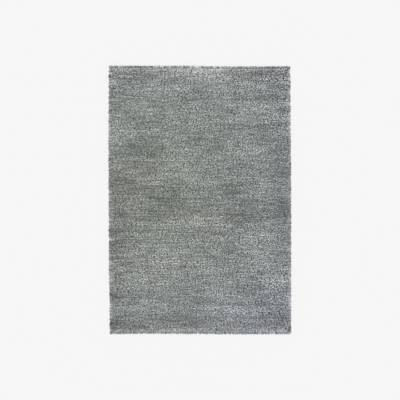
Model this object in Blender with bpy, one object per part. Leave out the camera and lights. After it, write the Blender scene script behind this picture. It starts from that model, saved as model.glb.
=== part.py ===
"""A shag rug, lying flat: one woven piece with long pile, which leans out in locks round its rim.

Metres, +Z up. The rug's underside lies on z = 0, its long side runs along Y, and the origin is
under its middle.
"""

import math
import random

import bmesh
import bpy
from mathutils import Matrix, Vector, noise

# Driving sizes
WIDTH = 1.33  # along X, from the pile's tips on one side to those on the other
LENGTH = 1.95  # along Y, from end to end
PILE_TOP = 0.0250  # mean height of the pile's upper surface
CORNER_RADIUS = 0.016

# The pile's upper surface
CELL = 0.031  # spacing of the surface's points, about one clump of pile
CLUMP_RISE = (-0.0010, 0.0060)  # how far a clump's crown stands up, and a hollow lies low
CLUMP_SHIFT = 0.008  # how far a clump's crown leans to one side
SWELL_RISE = 0.0016  # broad hollows and rises, longer across the rug than along it
SWELL_ACROSS = 0.42
SWELL_ALONG = 0.13

# The rim
RIM_SET_BACK = 0.013  # from the outline to the foot of the locks
TIER_HEIGHT = 0.009  # the locks stand in two tiers, one above the other
SHOULDER_HEIGHT = 0.0185  # where the side ends and the rounded edge of the pile begins
RING_WAVER = 0.0012  # how far those heights waver from lock to lock
SHOULDER_WIDTH = 0.016
RIM_CALM = 0.60  # the share of the clumps' rise and shift that is left next to the shoulder
LOCKS = 288  # an even number, in turn from the lower tier and the upper
LOCK_SHARE = 0.58  # of the rim's length, taken up by the roots of the locks
LOCK_LENGTH = (0.0115, 0.0185)
LOCK_RISE = (-0.0050, 0.0030)  # the tip's height over the middle of the root
LOCK_SWAY = 0.0050  # how far the tip strays along the rim
LOCK_TWIST = math.radians(24)
BEND_AT = 0.60  # share of a lock's length where it bends
BEND_RISE = 0.0012
BEND_SIZE = 0.74  # a lock's thickness there, as a share of its root's
REST_GAP = 0.0005  # between a hanging lock and the floor

# How far each edge of the rug is drawn in (+) or stands out (-), in metres, at shares of the edge's
# length. Left and right run from the lower end to the upper, lower and upper from left to right.
EDGE_DRAWN_IN = {
    # edge: ((share, drawn in), ...)
    "left": ((0.0, 0.0065), (0.12, 0.005), (0.25, 0.000), (0.45, -0.001), (0.72, -0.003), (1.0, 0.0)),
    "right": ((0.0, 0.0), (0.6, 0.0), (0.8, 0.003), (0.92, 0.0045), (1.0, 0.0075)),
    "lower": ((0.0, 0.001), (0.2, 0.0035), (0.45, 0.002), (0.7, 0.0), (1.0, 0.0)),
    "upper": ((0.0, -0.001), (0.45, 0.0), (0.6, 0.0045), (0.85, 0.0045), (1.0, 0.003)),
}

PILE_COLOUR = (0.238, 0.259, 0.248, 1.0)
SEED = 7

HALF = Vector((WIDTH / 2, LENGTH / 2))


def clear_scene():
    for obj in list(bpy.data.objects):
        bpy.data.objects.remove(obj, do_unlink=True)


def eased(rows, share):
    """The value at a share of an edge, rounded smoothly from each row to the next."""
    for (start, low), (end, high) in zip(rows, rows[1:]):
        if share <= end:
            turn = max(0.0, (share - start) / (end - start))
            return low + (high - low) * turn * turn * (3 - 2 * turn)
    return rows[-1][1]


def drawn_in(x, y):
    """The point of the rug that a point of the plain rectangle becomes."""
    across, along = x / HALF.x, y / HALF.y
    side = "right" if x > 0 else "left"
    end = "upper" if y > 0 else "lower"
    x -= across * eased(EDGE_DRAWN_IN[side], (along + 1) / 2)
    y -= along * eased(EDGE_DRAWN_IN[end], (across + 1) / 2)
    return x, y


def rim_points():
    """Points round the foot of the locks, against the clock, each with its way out.

    A lock's root lies between the first and the second, a gap between the second and the third,
    and so on."""
    radius = CORNER_RADIUS
    inner = HALF - Vector((1, 1)) * (RIM_SET_BACK + radius)
    corner = radius * math.pi / 2
    # A straight run and the corner after it: start, direction, length
    runs = (
        (Vector((inner.x, -inner.y)), Vector((0, 1)), 2 * inner.y),
        (Vector((inner.x, inner.y)), Vector((-1, 0)), 2 * inner.x),
        (Vector((-inner.x, inner.y)), Vector((0, -1)), 2 * inner.y),
        (Vector((-inner.x, -inner.y)), Vector((1, 0)), 2 * inner.x),
    )
    pitch = sum(run[2] + corner for run in runs) / LOCKS
    points = []
    at = 0.0
    for start, ahead, length in runs:
        out = Vector((ahead.y, -ahead.x))
        while at < length + corner and len(points) < 2 * LOCKS:
            turn = max(0.0, at - length) / radius
            way = Matrix.Rotation(turn, 2) @ out
            points.append((start + ahead * min(at, length) + way * radius, way))
            at += pitch * (LOCK_SHARE if len(points) % 2 else 1 - LOCK_SHARE)
        at -= length + corner
    return points


def add_ring(bm, points, heights):
    """A closed loop of vertices, and the edges between them."""
    verts = [bm.verts.new((*drawn_in(*at), z)) for (at, _), z in zip(points, heights)]
    edges = [bm.edges.new(pair) for pair in zip(verts, verts[1:] + verts[:1])]
    return verts, edges


def add_side(bm, lower, upper):
    """The faces between two rings, in order."""
    faces = []
    for i, foot in enumerate(lower):
        after = (i + 1) % len(lower)
        faces.append(bm.faces.new((foot, lower[after], upper[after], upper[i])))
    return faces


def wavering(height, rng):
    return height + rng.uniform(-RING_WAVER, RING_WAVER)


def pile_height(x, y):
    swell = noise.noise(Vector((x / SWELL_ACROSS, y / SWELL_ALONG, 0.7)))
    return PILE_TOP + 2 * SWELL_RISE * swell


def add_pile_surface(bm, rng):
    """The clumped upper surface: a grid whose points are in turn the crown of a clump and the
    hollow beside it, each shifted and raised by its own amount.

    It returns the edges of the surface's border."""
    reach = HALF - Vector((1, 1)) * (RIM_SET_BACK + SHOULDER_WIDTH)
    cells = [round(2 * side / CELL) for side in reach]
    grid = bmesh.ops.create_grid(bm, x_segments=cells[0], y_segments=cells[1], size=1)["verts"]
    for vert in grid:
        column = round((vert.co.x + 1) / 2 * cells[0])
        row = round((vert.co.y + 1) / 2 * cells[1])
        calm = RIM_CALM if vert.is_boundary else 1.0
        x = vert.co.x * reach.x + calm * rng.uniform(-CLUMP_SHIFT, CLUMP_SHIFT)
        y = vert.co.y * reach.y + calm * rng.uniform(-CLUMP_SHIFT, CLUMP_SHIFT)
        rise = calm * rng.uniform(*CLUMP_RISE) * (1 if (column + row) % 2 else -1)
        vert.co = (*drawn_in(x, y), pile_height(x, y) + rise)
    return [edge for edge in bm.edges if edge.is_boundary]


def pull_lock(bm, root, way, rng):
    """Draws one face of the side out into a lock, which bends and then tapers to its tip."""
    out = Vector((way.x, way.y, 0))
    along = Vector((-way.y, way.x, 0))
    tip = out * rng.uniform(*LOCK_LENGTH) + along * rng.uniform(-LOCK_SWAY, LOCK_SWAY)
    tip.z = rng.uniform(*LOCK_RISE)
    bend = tip * BEND_AT
    bend.z = max(0.0, tip.z) + rng.uniform(0.0, BEND_RISE)
    centre = root.calc_center_median()
    turn = Matrix.Rotation(rng.uniform(-LOCK_TWIST, LOCK_TWIST), 3, out)

    face = bmesh.ops.extrude_discrete_faces(bm, faces=[root])["faces"][0]
    for vert in face.verts:
        vert.co = centre + bend + turn @ ((vert.co - centre) * BEND_SIZE)
    lift = REST_GAP - min(vert.co.z for vert in face.verts)
    if lift > 0:
        bmesh.ops.translate(bm, verts=face.verts, vec=(0, 0, lift))
    end = bmesh.ops.extrude_discrete_faces(bm, faces=[face])["faces"][0]
    point = centre + tip
    point.z = max(point.z, 2 * REST_GAP)
    bmesh.ops.pointmerge(bm, verts=end.verts, merge_co=point)


def settle_on_origin(bm):
    """Moves the rug so that the origin lies under the middle of its reach."""
    for axis in (0, 1):
        reach = [vert.co[axis] for vert in bm.verts]
        move = Vector((0, 0, 0))
        move[axis] = -(min(reach) + max(reach)) / 2
        bmesh.ops.translate(bm, verts=bm.verts, vec=move)


def build_rug():
    rng = random.Random(SEED)
    bm = bmesh.new()
    pile_border = add_pile_surface(bm, rng)

    rim = rim_points()
    floor, _ = add_ring(bm, rim, [0.0] * len(rim))
    middle, _ = add_ring(bm, rim, [wavering(TIER_HEIGHT, rng) for _ in rim])
    shoulder, shoulder_edges = add_ring(bm, rim, [wavering(SHOULDER_HEIGHT, rng) for _ in rim])
    bm.faces.new(list(reversed(floor)))
    tiers = (add_side(bm, floor, middle), add_side(bm, middle, shoulder))
    bmesh.ops.bridge_loops(bm, edges=pile_border + shoulder_edges)
    for lock in range(LOCKS):
        face = 2 * lock
        pull_lock(bm, tiers[lock % 2][face], rim[face][1], rng)

    settle_on_origin(bm)
    bmesh.ops.triangulate(bm, faces=bm.faces)
    bmesh.ops.recalc_face_normals(bm, faces=bm.faces)
    mesh = bpy.data.meshes.new("shag_rug")
    bm.to_mesh(mesh)
    bm.free()
    mesh.materials.append(pile_material())
    rug = bpy.data.objects.new("shag_rug", mesh)
    bpy.context.scene.collection.objects.link(rug)
    return rug


def pile_material():
    material = bpy.data.materials.new("grey_pile")
    material.use_nodes = True
    shader = material.node_tree.nodes["Principled BSDF"]
    shader.inputs["Base Color"].default_value = PILE_COLOUR
    shader.inputs["Roughness"].default_value = 0.95
    shader.inputs["Metallic"].default_value = 0.0
    return material


clear_scene()
build_rug()
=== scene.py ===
"""The looks of the shag rug: a woven ground, and on it some tens of thousands of tufts of yarn.

Metres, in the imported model's frame: +X across the rug, +Y along it, +Z up out of the pile. Tufts
are laid out on a plain rectangle and then moved onto the rug, whose edges the solid gives.
"""

import math

import bmesh
import bpy
import numpy as np
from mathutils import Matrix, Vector


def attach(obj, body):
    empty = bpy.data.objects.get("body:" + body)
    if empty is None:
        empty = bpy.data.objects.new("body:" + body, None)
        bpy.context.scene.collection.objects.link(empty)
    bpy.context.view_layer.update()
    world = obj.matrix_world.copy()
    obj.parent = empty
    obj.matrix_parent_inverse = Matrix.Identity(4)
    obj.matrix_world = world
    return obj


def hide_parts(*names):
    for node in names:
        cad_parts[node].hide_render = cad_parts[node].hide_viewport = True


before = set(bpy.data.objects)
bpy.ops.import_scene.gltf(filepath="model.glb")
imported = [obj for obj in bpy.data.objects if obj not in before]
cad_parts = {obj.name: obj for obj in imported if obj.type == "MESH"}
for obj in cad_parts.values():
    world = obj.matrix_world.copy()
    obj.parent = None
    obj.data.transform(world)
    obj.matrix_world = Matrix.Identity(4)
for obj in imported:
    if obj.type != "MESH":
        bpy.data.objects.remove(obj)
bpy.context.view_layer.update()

# ---------------------------------------------------------------------------- sizes

RUG = "shag_rug"
WIDTH = 1.33
LENGTH = 1.95
HALF = np.array([WIDTH / 2, LENGTH / 2])
CORNER_RADIUS = 0.016  # of the solid's foot
FOOT_SET_BACK = 0.013  # from the rug's outline to the foot of its solid
PILE_CORNER_RADIUS = 0.005  # of the pile's outline

GROUND_THICKNESS = 0.003
GROUND_SET_BACK = 0.016  # from the rug's outline
GROUND_BEVEL = (0.0006, 0.0008)  # of its rim: inward, and up or down
GROUND_POINTS = 420  # round its outline

# The pile's dense lower part, where the tufts can't be told apart
BED_SET_BACK = 0.017
BED_TOP = 0.0085
BED_RISE = 0.0022  # how far its lumps stand up and its hollows lie low
BED_CELL = 0.0125
BED_STRAY = 0.003  # how far its lumps lie from an even grid
BED_EDGE_DROP = 0.003  # how much lower its edge lies
BED_GAP = 0.0002  # between the bed and the ground

# Tufts stand in woven rows across the rug
ROW_PITCH = 0.0073
TUFT_PITCH = 0.0050  # from tuft to tuft in a row
FIRST_TUFT = 0.25  # how far the first row, and in it the first tuft, lies in, as a share of a pitch
ROW_STRAY = 0.0010  # how far a root strays from the middle of its row
TUFT_STRAY = 0.0020  # and along it
ROOT_HEIGHT = 0.0065
ROWS_SET_BACK = 0.018  # of the outermost rows' roots

TUFT_REACH = (0.0020, 0.0100)  # how far a tuft leans over, without its tip
TUFT_DROOP = (-0.0020, 0.0030)  # of its tip, under its highest part
RING_DROOP = 0.3  # the share of that droop at its last ring
TUFT_SWAY = 0.0010  # how far its middle strays to one side
TUFT_CURL = 0.0014  # and its tip
YARN_RADIUS = (0.0020, 0.0027)  # from its middle to its corners

PILE_TOP = 0.0225
PILE_TOP_LIMITS = (0.0135, 0.0285)
FLOOR_GAP = 0.0004  # left under the lowest tufts
TUFT_RISE = 0.0022  # how unevenly the tufts stand up
CLUMP_RISE = 0.0012  # and the clumps that they form
CLUMP_SIZE = 0.032
# How strongly a tuft leans with its clump, with those beside it in its row and by itself
CLUMP_LEAN = 0.30
ROW_LEAN = 0.40
ROW_LEAN_LENGTH = 0.09
OWN_LEAN = (0.80, 0.25)  # across the rug and along it
RIM_LEAN = 1.1  # outward, at the rug's edges
RIM_LEAN_WIDTH = 0.045
RIM_LEAN_REACH = 0.0045  # how much further the tufts there reach

# A tuft is a yarn with three sides: a root, rings of corners and a tip
TIP_LENGTH = 0.0030
TUFT_LINE = (
    # shares of the reach, of the tip's length, of the rise, of the sway and curl, and of the yarn
    (0.00, 0.0, 0.00, 0.0, 0.0, 0.00),
    (0.35, 0.0, 0.70, 1.0, 0.2, 0.50),
    (1.00, 0.0, 1.00, 0.7, 1.0, 0.88),
    (1.00, 1.0, 1.00, 0.4, 1.5, 1.00),
)
LINE_POINTS = len(TUFT_LINE)
RINGS = LINE_POINTS - 2
RING_SIZE = (0.95, 1.0)  # as shares of the yarn's radius
RING_TWIST = math.radians(60)
CORNERS = 3
TUFT_POINTS = CORNERS * RINGS + 2
CELL_MARGIN = 0.10  # left free round each tuft in the bake's map, as a share of its cell

# The rim's tufts lean outward in tiers, one above the other
RIM_PITCH = 0.0038  # from tuft to tuft in a tier
RIM_TIERS = (
    # root in from the outline, heights of the root, of the highest part and of the tip
    (0.0150, 0.0045, 0.0085, 0.0040),
    (0.0165, 0.0070, 0.0145, 0.0105),
    (0.0185, 0.0090, 0.0205, 0.0175),
)
RIM_REACH = (0.0190, 0.0220)  # of the lowest tier; the others' tips come as far out
RIM_FAN = 0.018  # round the corners they are RIM_PITCH apart this far out from their roots
CORNER_REACH = 0.008  # how much further those at the corners reach
RIM_RISE = 0.0016  # how unevenly they stand up
RIM_ROOT_STRAY = 0.002
RIM_SPREAD = math.radians(28)  # how far they turn from the straight way out
RIM_LIMIT = (0.0020, 0.0095)  # how far past the outline the tips reach, at the sides and the ends
RIM_STRAY = 0.0008  # how unevenly they do, each tip by itself
RIM_WAVE = 0.0034  # and several side by side
RIM_WAVE_LENGTH = 0.010

# ---------------------------------------------------------------------------- shades of yarn

SHADES = (
    # name, brightness, how strongly it is tinted
    ("darkest", 0.268, 1.25),
    ("dark", 0.322, 1.10),
    ("middle", 0.365, 0.95),
    ("pale", 0.417, 0.80),
    ("palest", 0.491, 0.65),
)
# How like (+) or unlike (-) a tuft's yarn is to those beside it in its row and in the next rows
ROW_LIKENESS = (0.20, -0.28)
RIM_LIKENESS = (0.15, 0.0)
OWN_SHADE = 0.10  # how much a tuft's own shade strays from its yarn's
RIM_PAINTED_SHADE = 0.82  # painted shade of the rim's tufts, beside the others'
RIM_MOTTLE = 0.70  # how much paler and darker than that they are, a few side by side: a mottle of painted shade standing in for the gaps between them
RIM_MOTTLE_LENGTH = 0.0055
YARN_TINT = (-0.076, 0.0, -0.035)  # of red, green and blue
BED_TINT = 1.5  # how strongly the bed takes on that tint

TUFT_SEED = 13
BED_SEED = 14
NAP_SEED = 78  # of the streaks and of the rows' tones

# ---------------------------------------------------------------------------- nap, as painted light and shade

# Where the pile was brushed one way the light falls on it otherwise: painted shade (-) and painted
# light (+), in soft-edged patches
PATCH_FALL = 0.8  # how fast a patch fades towards its edge
NAP_LIGHT_AND_SHADE = (
    # x, y, half width, half height, amount
    (0.00, 0.93, 0.17, 0.040, 0.26),
    (-0.24, 0.82, 0.10, 0.040, 0.20),
    (-0.45, 0.90, 0.12, 0.060, -0.16),
    (0.52, 0.90, 0.18, 0.060, -0.08),
    (0.30, 0.83, 0.14, 0.025, 0.16),
    (0.42, 0.925, 0.20, 0.014, -0.24),
    (0.05, 0.945, 0.55, 0.008, 0.12),
    (0.48, 0.74, 0.16, 0.030, -0.18),
    (-0.60, 0.62, 0.10, 0.035, 0.14),
    (-0.36, 0.58, 0.20, 0.035, -0.14),
    (0.36, 0.67, 0.10, 0.040, 0.16),
    (0.38, 0.59, 0.18, 0.028, 0.18),
    (-0.50, 0.49, 0.14, 0.030, 0.20),
    (-0.04, 0.45, 0.14, 0.045, -0.15),
    (-0.46, 0.37, 0.20, 0.080, -0.14),
    (-0.19, 0.35, 0.09, 0.130, 0.18),
    (0.38, 0.33, 0.12, 0.060, 0.16),
    (0.60, 0.32, 0.12, 0.100, -0.18),
    (0.33, 0.24, 0.14, 0.035, -0.10),
    (-0.60, 0.14, 0.10, 0.070, -0.12),
    (0.62, 0.19, 0.08, 0.030, -0.22),
    (-0.06, 0.14, 0.18, 0.035, 0.14),
    (-0.25, 0.02, 0.13, 0.060, -0.24),
    (0.23, 0.05, 0.05, 0.060, -0.22),
    (0.45, 0.09, 0.08, 0.060, 0.18),
    (0.01, -0.03, 0.10, 0.040, -0.16),
    (0.31, -0.10, 0.14, 0.045, -0.22),
    (0.56, -0.06, 0.08, 0.090, -0.20),
    (-0.33, -0.11, 0.14, 0.040, -0.18),
    (-0.62, -0.27, 0.10, 0.180, -0.18),
    (-0.06, -0.17, 0.15, 0.038, 0.34),
    (-0.36, -0.25, 0.18, 0.022, 0.14),
    (0.41, -0.35, 0.10, 0.120, 0.26),
    (-0.34, -0.60, 0.16, 0.080, 0.24),
    (-0.16, -0.42, 0.24, 0.070, 0.18),
    (0.62, -0.60, 0.16, 0.055, 0.22),
    (-0.02, -0.65, 0.08, 0.060, -0.14),
    (0.12, -0.66, 0.12, 0.045, 0.14),
    (0.12, -0.81, 0.12, 0.030, 0.18),
    (0.38, -0.64, 0.10, 0.030, -0.14),
    (0.38, -0.81, 0.16, 0.035, 0.28),
    (-0.36, -0.75, 0.16, 0.040, 0.16),
    (-0.62, -0.70, 0.10, 0.030, -0.26),
    (-0.21, -0.88, 0.16, 0.050, -0.20),
    (-0.58, -0.90, 0.14, 0.040, -0.34),
    (0.54, -0.86, 0.14, 0.060, -0.20),
)
NAP_LIGHT_AND_SHADE_DEPTH = 1.27  # of all these amounts
STREAKS = (
    # length across the rug, width along it, amount
    (0.34, 0.090, 0.080),
    (0.24, 0.012, 0.060),
    (0.055, 0.080, 0.090),
)
ROW_TONE = 0.33  # how much the tone strays from row to row
ROW_TONE_LENGTH = 0.08  # how far a tone runs along its row
ROW_START = -0.0004  # y of an edge between the tones of two rows
EDGE_PAINTED_SHADE = (-0.22, -0.15, -0.20)  # painted shade along the sides, the lower end and the upper end
EDGE_PAINTED_SHADE_WIDTH = 0.020  # how far in it is felt

# Where the grey leans to yellow (-) or to blue (+)
BLUENESS = (
    # x, y, half width, half height, amount
    (-0.38, 0.08, 0.42, 0.50, -1.05),
    (0.02, 0.30, 0.20, 0.45, -0.15),
    (0.66, -0.05, 0.20, 0.90, 0.7),
    (0.47, -0.91, 0.46, 0.27, 1.25),
    (-0.64, 0.96, 0.18, 0.15, 0.35),
    (-0.58, -0.97, 0.26, 0.14, 0.3),
    (0.42, 0.95, 0.50, 0.20, 0.4),
)
# Where it leans to green (-) or to red (+)
WARMTH = (
    # x, y, half width, half height, amount
    (0.02, -0.14, 0.20, 0.08, 1.1),
    (-0.45, 0.20, 0.18, 0.08, 0.8),
    (-0.50, 0.00, 0.10, 0.20, 0.5),
    (-0.32, -0.47, 0.28, 0.10, 0.9),
    (0.50, -0.88, 0.40, 0.28, 0.4),
    (0.15, 0.95, 0.60, 0.10, 0.4),
    (-0.08, 0.05, 0.38, 0.40, -0.35),
)
# How much it leans so along the sides
EDGE_BLUENESS = 0.4
EDGE_WARMTH = 0.9
EDGE_TINT_WIDTH = 0.018
END_TINT = 0.2  # the share of that along the ends


def patches(rows, x, y):
    """The sum of all patches at each place."""
    total = np.zeros_like(x)
    for at_x, at_y, half_width, half_height, amount in rows:
        far = ((x - at_x) / half_width) ** 2 + ((y - at_y) / half_height) ** 2
        total += amount * np.exp(-PATCH_FALL * far)
    return total


def eased(share):
    return share * share * (3 - 2 * share)


def soft_noise(x, y, across, along, rng):
    """Smooth noise from -1 to 1 whose features have those sizes."""
    spare = 2  # knots past the rug on each side
    columns = int(WIDTH / across) + 2 * spare + 1
    rows = int(LENGTH / along) + 2 * spare + 1
    knots = rng.uniform(-1, 1, (rows, columns))
    # Counted in knots, and just short of the last one, so that each place has one after it
    u = np.clip((x + HALF[0]) / across + spare, 0, columns - 1.001)
    v = np.clip((y + HALF[1]) / along + spare, 0, rows - 1.001)
    i, j = v.astype(int), u.astype(int)
    a, b = eased(v - i), eased(u - j)
    low = knots[i, j] * (1 - b) + knots[i, j + 1] * b
    high = knots[i + 1, j] * (1 - b) + knots[i + 1, j + 1] * b
    return low * (1 - a) + high * a


# ---------------------------------------------------------------------------- outline

FOOT_LEVEL = 0.0002  # the solid's points under this are those of its foot
FOOT_STRAY = 0.010  # how far they lie at most from a plain rectangle's edge
LEAST_RADIUS = 0.004  # of a corner that is moved in


def foot_edges():
    """How far each edge of the solid's foot lies from where a plain rectangle's would, as
    (places along the edge, shifts outward in +X or +Y)."""
    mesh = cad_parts[RUG].data
    points = np.array([v.co for v in mesh.vertices])
    foot = points[points[:, 2] < FOOT_LEVEL][:, :2]
    straight = HALF - FOOT_SET_BACK - CORNER_RADIUS
    edges = {}
    for axis in (0, 1):
        for side in (-1, 1):
            plain = side * (HALF[axis] - FOOT_SET_BACK)
            near = np.abs(foot[:, axis] - plain) < FOOT_STRAY
            near &= np.abs(foot[:, 1 - axis]) < straight[1 - axis]
            places = foot[near]
            places = places[np.argsort(places[:, 1 - axis])]
            edges[axis, side] = (places[:, 1 - axis], places[:, axis] - plain)
    return edges


def onto_rug(points, edges):
    """Moves points of the plain rectangle to where they lie on the rug with its uneven edges."""
    moved = points.copy()
    for axis in (0, 1):
        share = np.clip(points[..., axis] / (2 * HALF[axis]) + 0.5, 0, 1)
        low, high = (np.interp(points[..., 1 - axis], *edges[axis, side]) for side in (-1, 1))
        moved[..., axis] += low * (1 - share) + high * share
    return moved


def past_outline(x, y):
    """How far points lie outside the pile's plain outline, and the way out of it from each."""
    beyond_x = np.abs(x) - (HALF[0] - PILE_CORNER_RADIUS)
    beyond_y = np.abs(y) - (HALF[1] - PILE_CORNER_RADIUS)
    corner = (beyond_x > 0) & (beyond_y > 0)
    length = np.maximum(np.hypot(beyond_x, beyond_y), 1e-9)
    far = np.where(corner, length, np.maximum(beyond_x, beyond_y))
    way_x = np.where(corner, beyond_x / length, beyond_x > beyond_y)
    way_y = np.where(corner, beyond_y / length, beyond_x <= beyond_y)
    return far - PILE_CORNER_RADIUS, np.sign(x) * way_x, np.sign(y) * way_y


def outline_points(set_back, count, fan=0.0):
    """Points round the plain outline moved in by set_back, against the clock, and the way out.
    Round the corners they are evenly spaced at fan outside it."""
    radius = max(CORNER_RADIUS - set_back / 2, LEAST_RADIUS)
    inner = HALF - set_back - radius
    quarter = (radius + fan) * math.pi / 2
    runs = (
        ((inner[0], -inner[1]), (0, 1), 2 * inner[1]),
        ((inner[0], inner[1]), (-1, 0), 2 * inner[0]),
        ((-inner[0], inner[1]), (0, -1), 2 * inner[1]),
        ((-inner[0], -inner[1]), (1, 0), 2 * inner[0]),
    )
    starts = np.cumsum([0] + [run[2] + quarter for run in runs])
    at = (np.arange(count) + 0.5) * starts[-1] / count
    places, ways = np.zeros((count, 2)), np.zeros((count, 2))
    for (start, ahead, length), first, last in zip(runs, starts, starts[1:]):
        mine = (at >= first) & (at < last)
        along = at[mine] - first
        turn = np.maximum(along - length, 0) / (radius + fan)
        out = np.array([ahead[1], -ahead[0]])
        way = np.outer(np.cos(turn), out) + np.outer(np.sin(turn), ahead)
        places[mine] = np.array(start) + np.outer(np.minimum(along, length), ahead) + way * radius
        ways[mine] = way
    return places, ways


# ---------------------------------------------------------------------------- tufts


def yarn_ranks(rows, columns, likeness, rng):
    """A number for each tuft that picks its yarn: the higher, the paler."""
    own = rng.uniform(-1, 1, (rows, columns))
    beside = np.roll(own, 1, 1) + np.roll(own, -1, 1)
    across = np.roll(own, 1, 0) + np.roll(own, -1, 0)
    return (own + likeness[0] * beside + likeness[1] * across).ravel()


def row_leans(x, y, rng):
    """Which way each tuft of the rows leans, and how near to the rim it stands, from 0 to 1."""
    lean_x = CLUMP_LEAN * soft_noise(x, y, CLUMP_SIZE, CLUMP_SIZE, rng)
    lean_y = CLUMP_LEAN * soft_noise(x, y, CLUMP_SIZE, CLUMP_SIZE, rng)
    lean_x += ROW_LEAN * soft_noise(x, y, ROW_LEAN_LENGTH, ROW_PITCH, rng)
    lean_x += rng.normal(0, OWN_LEAN[0], x.size)
    lean_y += rng.normal(0, OWN_LEAN[1], x.size)
    far, out_x, out_y = past_outline(x, y)
    rimward = np.clip(1 + (far + ROWS_SET_BACK) / RIM_LEAN_WIDTH, 0, 1)
    lean_x += RIM_LEAN * rimward * out_x
    lean_y += RIM_LEAN * rimward * out_y
    way = np.stack([lean_x, lean_y], 1) / np.maximum(np.hypot(lean_x, lean_y), 1e-6)[:, None]
    return way, rimward


def row_tufts(rng):
    """Root, lean and heights of the tufts that stand in rows all over the rug."""
    reach = HALF - ROWS_SET_BACK
    rows = int(2 * reach[1] / ROW_PITCH)
    columns = int(2 * reach[0] / TUFT_PITCH)
    row, column = (a.ravel() for a in np.mgrid[0:rows, 0:columns])
    step = (2 * reach) / np.array([columns, rows])
    x = -reach[0] + (column + FIRST_TUFT + 0.5 * (row % 2)) * step[0]
    y = -reach[1] + (row + FIRST_TUFT) * step[1]
    x += rng.uniform(-TUFT_STRAY, TUFT_STRAY, x.size)
    y += rng.uniform(-ROW_STRAY, ROW_STRAY, y.size)

    way, rimward = row_leans(x, y, rng)
    length = rng.uniform(*TUFT_REACH, x.size) + RIM_LEAN_REACH * rimward
    top = PILE_TOP + CLUMP_RISE * soft_noise(x, y, CLUMP_SIZE, CLUMP_SIZE, rng)
    top += TUFT_RISE * rng.normal(0, 1, x.size)
    top = np.clip(top, *PILE_TOP_LIMITS)
    root = np.stack([x, y, np.full(x.size, ROOT_HEIGHT)], 1)
    droop = rng.uniform(*TUFT_DROOP, x.size)
    yarn = yarn_ranks(rows, columns, ROW_LIKENESS, rng)
    return {"root": root, "way": way, "reach": length, "top": top, "droop": droop, "yarn": yarn}


def rim_tufts(rng):
    """The same for the tufts of the rim, which lean outward."""
    count = int(2 * (WIDTH + LENGTH) / RIM_PITCH)
    tiers = []
    for set_back, root_height, top_height, tip_height in RIM_TIERS:
        places, ways = outline_points(set_back, count, RIM_FAN)
        turn = rng.uniform(-RIM_SPREAD, RIM_SPREAD, count)
        way = ways * np.cos(turn)[:, None]
        way += np.stack([-ways[:, 1], ways[:, 0]], 1) * np.sin(turn)[:, None]
        places += rng.uniform(-RIM_ROOT_STRAY, RIM_ROOT_STRAY, places.shape)
        top = top_height + rng.normal(0, RIM_RISE, count)
        tip = np.maximum(tip_height + rng.normal(0, RIM_RISE, count), YARN_RADIUS[1])
        reach = rng.uniform(*RIM_REACH, count) + CORNER_REACH * np.abs(2 * ways[:, 0] * ways[:, 1])
        tiers.append(
            {
                "root": np.column_stack([places, np.full(count, root_height)]),
                "way": way,
                "reach": reach + set_back - RIM_TIERS[0][0],
                "top": np.maximum(top, tip),
                "droop": np.maximum(top - tip, 0),
                "yarn": yarn_ranks(1, count, RIM_LIKENESS, rng),
            }
        )
    return {key: np.concatenate([tier[key] for tier in tiers]) for key in tiers[0]}


def centre_lines(tufts, rng):
    """Points down the middle of each tuft: its root, the middles of its rings, and its tip."""
    count = len(tufts["reach"])
    side = np.stack([-tufts["way"][:, 1], tufts["way"][:, 0]], 1)
    sway = rng.normal(0, TUFT_SWAY, count)
    curl = rng.normal(0, TUFT_CURL, count)
    lines = np.zeros((count, LINE_POINTS, 3))
    for step, (reached, tipped, rise, swayed, curled, _) in enumerate(TUFT_LINE):
        ahead = tufts["reach"] * reached + TIP_LENGTH * tipped
        lines[:, step, :2] = tufts["root"][:, :2]
        lines[:, step, :2] += tufts["way"] * ahead[:, None]
        lines[:, step, :2] += side * (sway * swayed + curl * curled)[:, None]
        lines[:, step, 2] = tufts["root"][:, 2] * (1 - rise) + tufts["top"] * rise
    lines[:, -2, 2] -= tufts["droop"] * RING_DROOP
    lines[:, -1, 2] -= tufts["droop"]
    return lines


def kept_on_rug(lines, radius, rng):
    """Moves tufts that reach too far past the outline inward."""
    x, y = lines[:, -1, 0], lines[:, -1, 1]
    _, way_x, way_y = past_outline(x, y)
    most = RIM_LIMIT[0] * way_x**2 + RIM_LIMIT[1] * way_y**2
    most += rng.normal(0, RIM_STRAY, len(lines))
    most += RIM_WAVE * soft_noise(x, y, RIM_WAVE_LENGTH, RIM_WAVE_LENGTH, rng)
    for step in range(1, LINE_POINTS):
        spare = 0.0 if step == LINE_POINTS - 1 else radius
        far, way_x, way_y = past_outline(lines[:, step, 0], lines[:, step, 1])
        excess = np.maximum(far + spare - most, 0)
        lines[:, :, 0] -= (excess * way_x)[:, None]
        lines[:, :, 1] -= (excess * way_y)[:, None]
    return lines


def tuft_points(lines, radius, rng):
    """Each tuft's root, the three corners of each ring, and its tip."""
    count = len(lines)
    tangents = lines[:, 2:] - lines[:, :-2]
    tangents /= np.linalg.norm(tangents, axis=2, keepdims=True)
    run = lines[:, -1, :2] - lines[:, 0, :2]
    run /= np.maximum(np.linalg.norm(run, axis=1, keepdims=True), 1e-6)
    side = np.stack([-run[:, 1], run[:, 0], np.zeros(count)], 1)[:, None, :]
    side = side - (side * tangents).sum(2, keepdims=True) * tangents
    side /= np.linalg.norm(side, axis=2, keepdims=True)
    over = np.cross(tangents, side)

    start = rng.uniform(0, 2 * math.pi, count)
    points = np.zeros((count, TUFT_POINTS, 3))
    points[:, 0] = lines[:, 0]
    points[:, -1] = lines[:, -1]
    for ring in range(RINGS):
        for corner in range(CORNERS):
            angle = start + RING_TWIST * ring + corner * 2 * math.pi / CORNERS
            out = side[:, ring] * np.cos(angle)[:, None] + over[:, ring] * np.sin(angle)[:, None]
            at = 1 + ring * CORNERS + corner
            points[:, at] = lines[:, ring + 1] + out * (radius * RING_SIZE[ring])[:, None]
    return points


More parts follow.
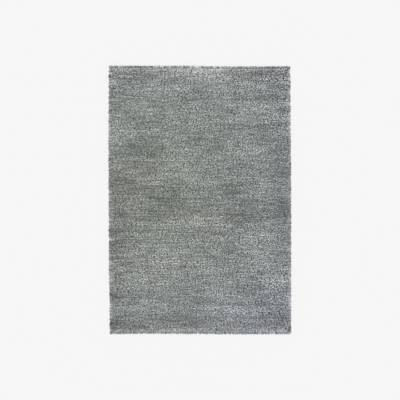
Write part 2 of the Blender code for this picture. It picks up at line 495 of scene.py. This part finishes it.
def tuft_template():
    """One tuft's triangles, and for each of their corners its turn round the yarn and its step
    along the middle line."""
    corners = []
    for turn in range(CORNERS):
        corners.append(((turn + 0.5, 0), (turn + 1, 1), (turn, 1)))
        for ring in range(1, RINGS):
            corners.append(((turn, ring), (turn + 1, ring), (turn, ring + 1)))
            corners.append(((turn, ring + 1), (turn + 1, ring), (turn + 1, ring + 1)))
        corners.append(((turn, RINGS), (turn + 1, RINGS), (turn + 0.5, RINGS + 1)))
    corners = np.array(corners)
    turns, steps = corners[..., 0], corners[..., 1].astype(int)
    points = 1 + (steps - 1) * CORNERS + turns.astype(int) % CORNERS
    points[steps == 0] = 0
    points[steps == RINGS + 1] = TUFT_POINTS - 1
    return points, turns, steps


def add_object(name, data):
    obj = bpy.data.objects.new(name, data)
    bpy.context.scene.collection.objects.link(obj)
    return obj


def new_mesh(name, points, faces):
    """A smooth-shaded object of triangles."""
    mesh = bpy.data.meshes.new(name)
    mesh.vertices.add(len(points))
    mesh.vertices.foreach_set("co", points.astype(np.float32).ravel())
    mesh.loops.add(faces.size)
    mesh.loops.foreach_set("vertex_index", faces.astype(np.int32).ravel())
    mesh.polygons.add(len(faces))
    mesh.polygons.foreach_set("loop_start", np.arange(0, faces.size, 3, dtype=np.int32))
    mesh.update(calc_edges=True)
    mesh.polygons.foreach_set("use_smooth", np.ones(len(faces), bool))
    return add_object(name, mesh)


def add_uv(mesh, name, places):
    layer = mesh.uv_layers.new(name=name)
    layer.uv.foreach_set("vector", places.astype(np.float32).ravel())


def add_number(mesh, name, values):
    attribute = mesh.attributes.new(name, "FLOAT", "POINT")
    attribute.data.foreach_set("value", values.astype(np.float32).ravel())


def pile_piece(name, points, numbers, lengths, rng):
    """One object of many tufts."""
    faces, turns, steps = tuft_template()
    count = len(points)
    firsts = np.arange(count)[:, None, None] * TUFT_POINTS
    obj = new_mesh(name, points.reshape(-1, 3), (faces[None] + firsts).reshape(-1, 3))
    mesh = obj.data
    up = np.array([row[-1] for row in TUFT_LINE])

    # The bake's map: each tuft has a square cell, its turn across and its length up
    cells = math.ceil(math.sqrt(count))
    number = np.arange(count)
    cell = np.stack([number % cells, number // cells], 1)[:, None, None, :]
    inside = CELL_MARGIN + (1 - 2 * CELL_MARGIN) * np.stack([turns / CORNERS, up[steps]], 2)
    add_uv(mesh, "OFBake", (cell + inside[None]) / cells)

    # The yarn's own map: once round it across, and metres along it
    along = np.concatenate([np.zeros((count, 1)), np.cumsum(lengths, 1)], 1)
    strand = np.zeros((count, len(faces), 3, 2))
    strand[..., 0] = turns / CORNERS
    strand[..., 1] = along[:, steps] + rng.uniform(0, 1, (count, 1, 1))
    add_uv(mesh, "Strand", strand)

    add_number(mesh, "along", np.tile(np.repeat(up, [1] + [CORNERS] * RINGS + [1]), count))
    for key, values in numbers.items():
        add_number(mesh, key, np.repeat(values, TUFT_POINTS))
    return obj


def tone_and_painted_light_at(x, y):
    """How much paler or darker the pile is painted at each place: the nap's painted light and shade,
    random streaks and rows' tones, and painted shade along the edges.
    """
    rng = np.random.default_rng(NAP_SEED)
    paler_by = NAP_LIGHT_AND_SHADE_DEPTH * patches(NAP_LIGHT_AND_SHADE, x, y)
    for across, along, amount in STREAKS:
        paler_by += amount * soft_noise(x, y, across, along, rng)
    row_middle = (np.floor((y - ROW_START) / ROW_PITCH) + 0.5) * ROW_PITCH
    paler_by += ROW_TONE * soft_noise(x, row_middle, ROW_TONE_LENGTH, ROW_PITCH, rng)
    far, way_x, way_y = past_outline(x, y)
    # Painted shade along the rug's edges, lighter at the lower end, towards the key light
    edge = EDGE_PAINTED_SHADE[0] * way_x**2 + np.where(y < 0, EDGE_PAINTED_SHADE[1], EDGE_PAINTED_SHADE[2]) * way_y**2
    return paler_by + edge * np.exp(np.minimum(far, 0) / EDGE_PAINTED_SHADE_WIDTH)


def tints_at(x, y):
    """How much bluer and how much redder the pile looks at each place."""
    far, way_x, way_y = past_outline(x, y)
    edge = np.exp(np.minimum(far, 0) / EDGE_TINT_WIDTH) * (way_x**2 + END_TINT * way_y**2)
    blueness = patches(BLUENESS, x, y) + EDGE_BLUENESS * edge
    warmth = patches(WARMTH, x, y) + EDGE_WARMTH * edge
    return blueness, warmth


def tuft_shades(x, y, in_rows, rng):
    """How bright each tuft is beside its yarn's own colour: its own tone, the painted light and
    shade of its place, and the rim's mottled painted shade.
    """
    shade = (1 + tone_and_painted_light_at(x, y)) * rng.uniform(1 - OWN_SHADE, 1 + OWN_SHADE, x.size)
    mottle = RIM_MOTTLE * soft_noise(x, y, RIM_MOTTLE_LENGTH, RIM_MOTTLE_LENGTH, rng)
    # The rim's tufts are darkened with mottled painted shade
    return shade * np.where(in_rows, 1, RIM_PAINTED_SHADE * (1 + mottle))


def make_pile(edges):
    """All the tufts, as one object for each shade of yarn."""
    rng = np.random.default_rng(TUFT_SEED)
    rows, rim = row_tufts(rng), rim_tufts(rng)
    tufts = {key: np.concatenate([rows[key], rim[key]]) for key in rows}
    count = len(tufts["reach"])
    radius = rng.uniform(*YARN_RADIUS, count)
    lines = kept_on_rug(centre_lines(tufts, rng), radius, rng)
    # A tuft takes the tone, painted light and painted shade of the place under its last ring
    x, y = onto_rug(lines[:, -2, :2], edges).T
    shade = tuft_shades(x, y, np.arange(count) < len(rows["reach"]), rng)
    blueness, warmth = tints_at(x, y)
    numbers = {"shade": shade, "blueness": blueness, "warmth": warmth}

    lines[..., :2] = onto_rug(lines[..., :2], edges)
    points = tuft_points(lines, radius, rng)
    points[..., 2] = np.maximum(points[..., 2], FLOOR_GAP)
    lengths = np.linalg.norm(np.diff(lines, axis=1), axis=2)
    order = np.argsort(tufts["yarn"])
    pieces = []
    for number, (name, brightness, tinted) in enumerate(SHADES):
        mine = order[number * count // len(SHADES) : (number + 1) * count // len(SHADES)]
        of_mine = {key: values[mine] for key, values in numbers.items()}
        piece = pile_piece("pile_" + name, points[mine], of_mine, lengths[mine], rng)
        piece.data.materials.append(yarn_material("yarn_" + name, brightness, tinted))
        pieces.append(piece)
    return pieces


# ---------------------------------------------------------------------------- materials

ROOT_SHADE_TIP_LIGHT = (0.35, 1.33)  # painted shade of a yarn near its root, and painted light at its tip
PLY_GROOVE_SHADE = (0.88, 1.06)  # painted shade between its ridges, and a little painted light on them
FLECK_TONE = (0.80, 1.20)
FLECK_DENSITY = 420.0  # in each metre
FIBRES_ROUND = 14.0  # the yarn
FIBRE_DENSITY = 170.0  # along it, in each metre
YARN_ROUGHNESS = (0.80, 0.98)
YARN_RELIEF = 0.0006
PLY_RELIEF = 0.35  # of the ridges, beside the fibres'
BLUENESS_DEPTH = 0.075  # the share that a blueness of 1 adds to the blue
WARMTH_DEPTH = 0.045  # and a warmth of 1 to the red

# The bed is dark: painted shade of the pile's depth, under the tufts
BED_PAINTED_SHADE = (0.09, 0.27)
BED_SWIRL_DENSITY = 60.0  # in each metre
BED_SWIRL = 0.020  # how far its strands are bent
BED_STRAND_DENSITY = 260.0
BED_STRAND_TONE = (1.0, 0.35)  # at its middle and past its edges
BED_STRAND_EDGES = (0.1, 0.75)  # how far from its middle they lie, as shares of a cell
BED_RELIEF = 0.0015

GROUND_COLOUR = (0.40, 0.37, 0.31)
WEAVE_GAP_SHADE = (0.78, 1.05)  # painted shade between its yarns, and their own tone on them
GROUND_FLECK_TONE = (0.85, 1.15)
GROUND_FLECK_DENSITY = 900.0
WARP_PITCH = 0.0034  # of the yarns that run along the rug
GROUND_RELIEF = 0.0008

MIDDLE_OF_NOISE = (0.3, 0.7)  # where nearly all of a noise's values lie


class Nodes:
    """Short ways to build a material's nodes."""

    def __init__(self, material):
        material.use_nodes = True
        self.tree = material.node_tree
        self.shader = self.tree.nodes["Principled BSDF"]

    def add(self, kind, **settings):
        node = self.tree.nodes.new(kind)
        for key, value in settings.items():
            setattr(node, key, value)
        return node

    def plug(self, value, socket):
        if isinstance(value, bpy.types.NodeSocket):
            self.tree.links.new(value, socket)
        else:
            socket.default_value = value

    def maths(self, operation, *values):
        node = self.add("ShaderNodeMath", operation=operation)
        for value, socket in zip(values, node.inputs):
            self.plug(value, socket)
        return node.outputs[0]

    def number(self, name):
        return self.add("ShaderNodeAttribute", attribute_name=name).outputs["Fac"]

    def ramp(self, value, low, high, start=0.0, end=1.0):
        """A value that goes from low to high as the given one goes from start to end."""
        node = self.add("ShaderNodeMapRange")
        for socket, given in zip(node.inputs, (value, start, end, low, high)):
            self.plug(given, socket)
        return node.outputs[0]

    def noise(self, vector, scale, detail=2.0):
        node = self.add("ShaderNodeTexNoise")
        self.plug(vector, node.inputs["Vector"])
        node.inputs["Scale"].default_value = scale
        node.inputs["Detail"].default_value = detail
        return node.outputs["Fac"]

    def colour(self, red, green, blue):
        node = self.add("ShaderNodeCombineColor")
        for socket, value in zip(node.inputs, (red, green, blue)):
            self.plug(value, socket)
        return node.outputs[0]

    def bump(self, height, distance, strength=1.0):
        node = self.add("ShaderNodeBump")
        node.inputs["Strength"].default_value = strength
        node.inputs["Distance"].default_value = distance
        self.plug(height, node.inputs["Height"])
        self.plug(node.outputs["Normal"], self.shader.inputs["Normal"])


def spun_yarn(nodes):
    """The ridges of a yarn, one at each of its corners, and the fibres along it."""
    split = nodes.add("ShaderNodeSeparateXYZ")
    nodes.plug(nodes.add("ShaderNodeUVMap", uv_map="Strand").outputs[0], split.inputs[0])
    ply = nodes.maths("COSINE", nodes.maths("MULTIPLY", split.outputs[0], 2 * math.pi * CORNERS))
    spun = nodes.add("ShaderNodeCombineXYZ")
    nodes.plug(nodes.maths("MULTIPLY", split.outputs[0], FIBRES_ROUND), spun.inputs[0])
    nodes.plug(nodes.maths("MULTIPLY", split.outputs[1], FIBRE_DENSITY), spun.inputs[1])
    return ply, nodes.noise(spun.outputs[0], 1.0)


def yarn_material(name, brightness, tinted):
    """Twisted heathered yarn, with painted shade down towards its root between the tufts, painted
    light at its tip, and painted shade between its plies.
    """
    material = bpy.data.materials.new(name)
    nodes = Nodes(material)
    ply, fibre = spun_yarn(nodes)
    place = nodes.add("ShaderNodeTexCoord").outputs["Object"]
    fleck = nodes.ramp(nodes.noise(place, FLECK_DENSITY), *FLECK_TONE, *MIDDLE_OF_NOISE)
    tone = nodes.maths("MULTIPLY", nodes.number("shade"), fleck)
    # Painted shade in the grooves between the plies, painted light on their ridges
    tone = nodes.maths("MULTIPLY", tone, nodes.ramp(ply, *PLY_GROOVE_SHADE, -1.0, 1.0))
    # Painted shade near the root and painted light at the tip, along the yarn
    tone = nodes.maths("MULTIPLY", tone, nodes.ramp(nodes.number("along"), *ROOT_SHADE_TIP_LIGHT, 0.1, 1.0))

    red, green, blue = (brightness * (1 + tinted * part) for part in YARN_TINT)
    redder = nodes.maths("MULTIPLY_ADD", nodes.number("warmth"), red * WARMTH_DEPTH, red)
    bluer = nodes.maths("MULTIPLY_ADD", nodes.number("blueness"), blue * BLUENESS_DEPTH, blue)
    mixed = nodes.colour(*(nodes.maths("MULTIPLY", tone, part) for part in (redder, green, bluer)))
    nodes.plug(mixed, nodes.shader.inputs["Base Color"])
    rough = nodes.ramp(fibre, *YARN_ROUGHNESS, *MIDDLE_OF_NOISE)
    nodes.plug(rough, nodes.shader.inputs["Roughness"])
    nodes.shader.inputs["Specular IOR Level"].default_value = 0.25
    nodes.shader.inputs["Sheen Weight"].default_value = 0.06
    nodes.shader.inputs["Sheen Roughness"].default_value = 0.5
    nodes.bump(nodes.maths("MULTIPLY_ADD", ply, PLY_RELIEF, fibre), YARN_RELIEF, strength=0.7)
    return material


def bed_material():
    """The pile's dense lower part: dark with painted shade, with the ends of broken fibres."""
    material = bpy.data.materials.new("bed_wool_in_painted_shade")
    nodes = Nodes(material)
    place = nodes.add("ShaderNodeTexCoord").outputs["Object"]
    # Short strands that lie this way and that: the cells of a net, bent by a noise
    bent = nodes.add("ShaderNodeVectorMath", operation="MULTIPLY_ADD")
    swirl = nodes.add("ShaderNodeTexNoise")
    nodes.plug(place, swirl.inputs["Vector"])
    swirl.inputs["Scale"].default_value = BED_SWIRL_DENSITY
    nodes.plug(swirl.outputs["Color"], bent.inputs[0])
    bent.inputs[1].default_value = (BED_SWIRL, BED_SWIRL, 0.0)
    nodes.plug(place, bent.inputs[2])
    net = nodes.add("ShaderNodeTexVoronoi")
    nodes.plug(bent.outputs[0], net.inputs["Vector"])
    net.inputs["Scale"].default_value = BED_STRAND_DENSITY
    strand = nodes.ramp(net.outputs["Distance"], *BED_STRAND_TONE, *BED_STRAND_EDGES)
    own = nodes.add("ShaderNodeSeparateColor")
    nodes.plug(net.outputs["Color"], own.inputs[0])
    tone = nodes.maths("MULTIPLY", strand, nodes.ramp(own.outputs[0], *BED_PAINTED_SHADE))
    mixed = nodes.colour(*(nodes.maths("MULTIPLY", tone, 1 + BED_TINT * part) for part in YARN_TINT))
    nodes.plug(mixed, nodes.shader.inputs["Base Color"])
    nodes.shader.inputs["Roughness"].default_value = 0.95
    nodes.shader.inputs["Specular IOR Level"].default_value = 0.2
    nodes.bump(strand, BED_RELIEF)
    return material


def ground_material():
    """A plain weave of undyed yarn, with painted shade between its yarns."""
    material = bpy.data.materials.new("ground_weave")
    nodes = Nodes(material)
    place = nodes.add("ShaderNodeTexCoord").outputs["Object"]
    split = nodes.add("ShaderNodeSeparateXYZ")
    nodes.plug(place, split.inputs[0])
    across = nodes.maths("SINE", nodes.maths("MULTIPLY", split.outputs[0], 2 * math.pi / WARP_PITCH))
    along = nodes.maths("SINE", nodes.maths("MULTIPLY", split.outputs[1], 2 * math.pi / ROW_PITCH))
    weave = nodes.maths("MULTIPLY", across, along)
    fleck = nodes.noise(place, GROUND_FLECK_DENSITY, 3.0)
    fleck = nodes.ramp(fleck, *GROUND_FLECK_TONE, *MIDDLE_OF_NOISE)
    # Painted shade between the yarns of the weave
    tone = nodes.maths("MULTIPLY", nodes.ramp(weave, *WEAVE_GAP_SHADE, -1.0, 1.0), fleck)
    mixed = nodes.colour(*(nodes.maths("MULTIPLY", tone, part) for part in GROUND_COLOUR))
    nodes.plug(mixed, nodes.shader.inputs["Base Color"])
    nodes.shader.inputs["Roughness"].default_value = 0.9
    nodes.bump(weave, GROUND_RELIEF)
    return material


# ---------------------------------------------------------------------------- ground and bed


def object_of(bm, name):
    mesh = bpy.data.meshes.new(name)
    bm.to_mesh(mesh)
    bm.free()
    return add_object(name, mesh)


def join_loops(bm, loops):
    """The faces between closed loops of points, each over the one before, and the bottom."""
    for low, high in zip(loops, loops[1:]):
        for i in range(len(low)):
            j = (i + 1) % len(low)
            bm.faces.new((low[i], low[j], high[j], high[i]))
    bm.faces.new(loops[0][::-1])


def make_ground(edges):
    """A closed slab in the rug's outline, with a small bevel round its rim."""
    inward, rise = GROUND_BEVEL
    top = GROUND_THICKNESS
    bm = bmesh.new()
    loops = []
    for height, further in ((0.0, inward), (rise, 0.0), (top - rise, 0.0), (top, inward)):
        places, _ = outline_points(GROUND_SET_BACK + further, GROUND_POINTS)
        places = onto_rug(places, edges)
        loops.append([bm.verts.new((*place, height)) for place in places])
    join_loops(bm, loops)
    bm.faces.new(loops[-1])
    ground = object_of(bm, "woven_ground")
    ground.data.materials.append(ground_material())
    return ground


def add_bed_top(bm, edges):
    """The lumpy top of the bed, a grid. It returns the points of its border, against the clock."""
    rng = np.random.default_rng(BED_SEED)
    reach = HALF - BED_SET_BACK
    columns, rows = (round(2 * side / BED_CELL) for side in reach)
    bmesh.ops.create_grid(bm, x_segments=columns, y_segments=rows, size=1)
    bm.verts.ensure_lookup_table()
    flat = np.array([v.co[:2] for v in bm.verts])
    places = flat * reach
    inner = (np.abs(flat) < 0.9999).all(1)
    places[inner] += rng.uniform(-BED_STRAY, BED_STRAY, (int(inner.sum()), 2))
    rise = rng.uniform(-BED_RISE, BED_RISE, len(places))
    places = onto_rug(places, edges)
    for vert, place, up, inside in zip(bm.verts, places, rise, inner):
        vert.co = (*place, (BED_TOP if inside else BED_TOP - BED_EDGE_DROP) + up)
    number = np.arange(len(places)).reshape(rows + 1, columns + 1)
    border = (*number[0, :-1], *number[:-1, -1], *number[-1, :0:-1], *number[:0:-1, 0])
    return [bm.verts[i] for i in border]


def make_bed(edges):
    """A closed slab with a lumpy top."""
    bm = bmesh.new()
    border = add_bed_top(bm, edges)
    foot = [bm.verts.new((*vert.co.xy, GROUND_THICKNESS + BED_GAP)) for vert in border]
    join_loops(bm, (foot, border))
    bed = object_of(bm, "pile_bed")
    bed.data.shade_smooth()
    bed.data.materials.append(bed_material())
    return bed


# ---------------------------------------------------------------------------- stage

LENS = 70.0
SENSOR = 36.0
PICTURE_WIDTH = 2.92  # what the picture takes in, at the height of the pile's top
CAMERA_X = 0.0014  # the rug lies a little to the left of the picture's middle
FLOOR_SIZE = 60.0
FLOOR_TONE = 0.9216  # how bright the floor looks
FLOOR_OWN_SHARE = 0.94  # of that, what the floor gives off itself, so that its shadows stay pale
DOME_LIGHT = 1.32  # what each light gives to a level surface
KEY_LIGHT = 0.50
KEY_HEIGHT = math.radians(50)
KEY_WAY = math.radians(10)  # from the lower end of the picture, a little from the right
KEY_SOFTNESS = math.radians(25)


def make_floor():
    bpy.ops.mesh.primitive_plane_add(size=FLOOR_SIZE)
    floor = bpy.context.object
    floor.name = "floor"
    material = bpy.data.materials.new("floor_paper")
    nodes = Nodes(material)
    tone = FLOOR_TONE * (1 - FLOOR_OWN_SHARE) / (DOME_LIGHT + KEY_LIGHT)
    nodes.shader.inputs["Base Color"].default_value = (tone, tone, tone, 1.0)
    nodes.shader.inputs["Roughness"].default_value = 1.0
    nodes.shader.inputs["Specular IOR Level"].default_value = 0.0
    nodes.shader.inputs["Emission Color"].default_value = (1.0, 1.0, 1.0, 1.0)
    nodes.shader.inputs["Emission Strength"].default_value = FLOOR_TONE * FLOOR_OWN_SHARE
    floor.data.materials.append(material)


def make_lights():
    """An even dome and a soft key light. The camera sees the dome as bright as the floor, so
    that no horizon shows."""
    world = bpy.data.worlds.new("studio")
    bpy.context.scene.world = world
    world.use_nodes = True
    tree = world.node_tree
    dome = tree.nodes["Background"]
    dome.inputs["Color"].default_value = (1.0, 1.0, 1.0, 1.0)
    seen = tree.nodes.new("ShaderNodeLightPath")
    strength = tree.nodes.new("ShaderNodeMapRange")
    strength.inputs["To Min"].default_value = DOME_LIGHT
    strength.inputs["To Max"].default_value = FLOOR_TONE
    tree.links.new(seen.outputs["Is Camera Ray"], strength.inputs["Value"])
    tree.links.new(strength.outputs["Result"], dome.inputs["Strength"])

    key = bpy.data.lights.new("key", "SUN")
    key.angle = KEY_SOFTNESS
    key.energy = KEY_LIGHT * math.pi / math.sin(KEY_HEIGHT)
    lamp = add_object("key", key)
    lamp.rotation_euler = (math.pi / 2 - KEY_HEIGHT, 0, KEY_WAY)


def make_camera():
    camera = bpy.data.cameras.new("camera")
    camera.lens = LENS
    camera.sensor_width = SENSOR
    obj = add_object("camera", camera)
    obj.location = Vector((CAMERA_X, 0, PILE_TOP + PICTURE_WIDTH * LENS / SENSOR))
    bpy.context.scene.camera = obj


def main():
    edges = foot_edges()
    ground = make_ground(edges)
    bed = make_bed(edges)
    pile = make_pile(edges)
    for piece in (ground, bed, *pile):
        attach(piece, "root")
        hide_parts(RUG)
    make_floor()
    make_lights()
    make_camera()
    settings = bpy.context.scene.view_settings
    settings.view_transform = "Standard"
    settings.look = "None"


main()
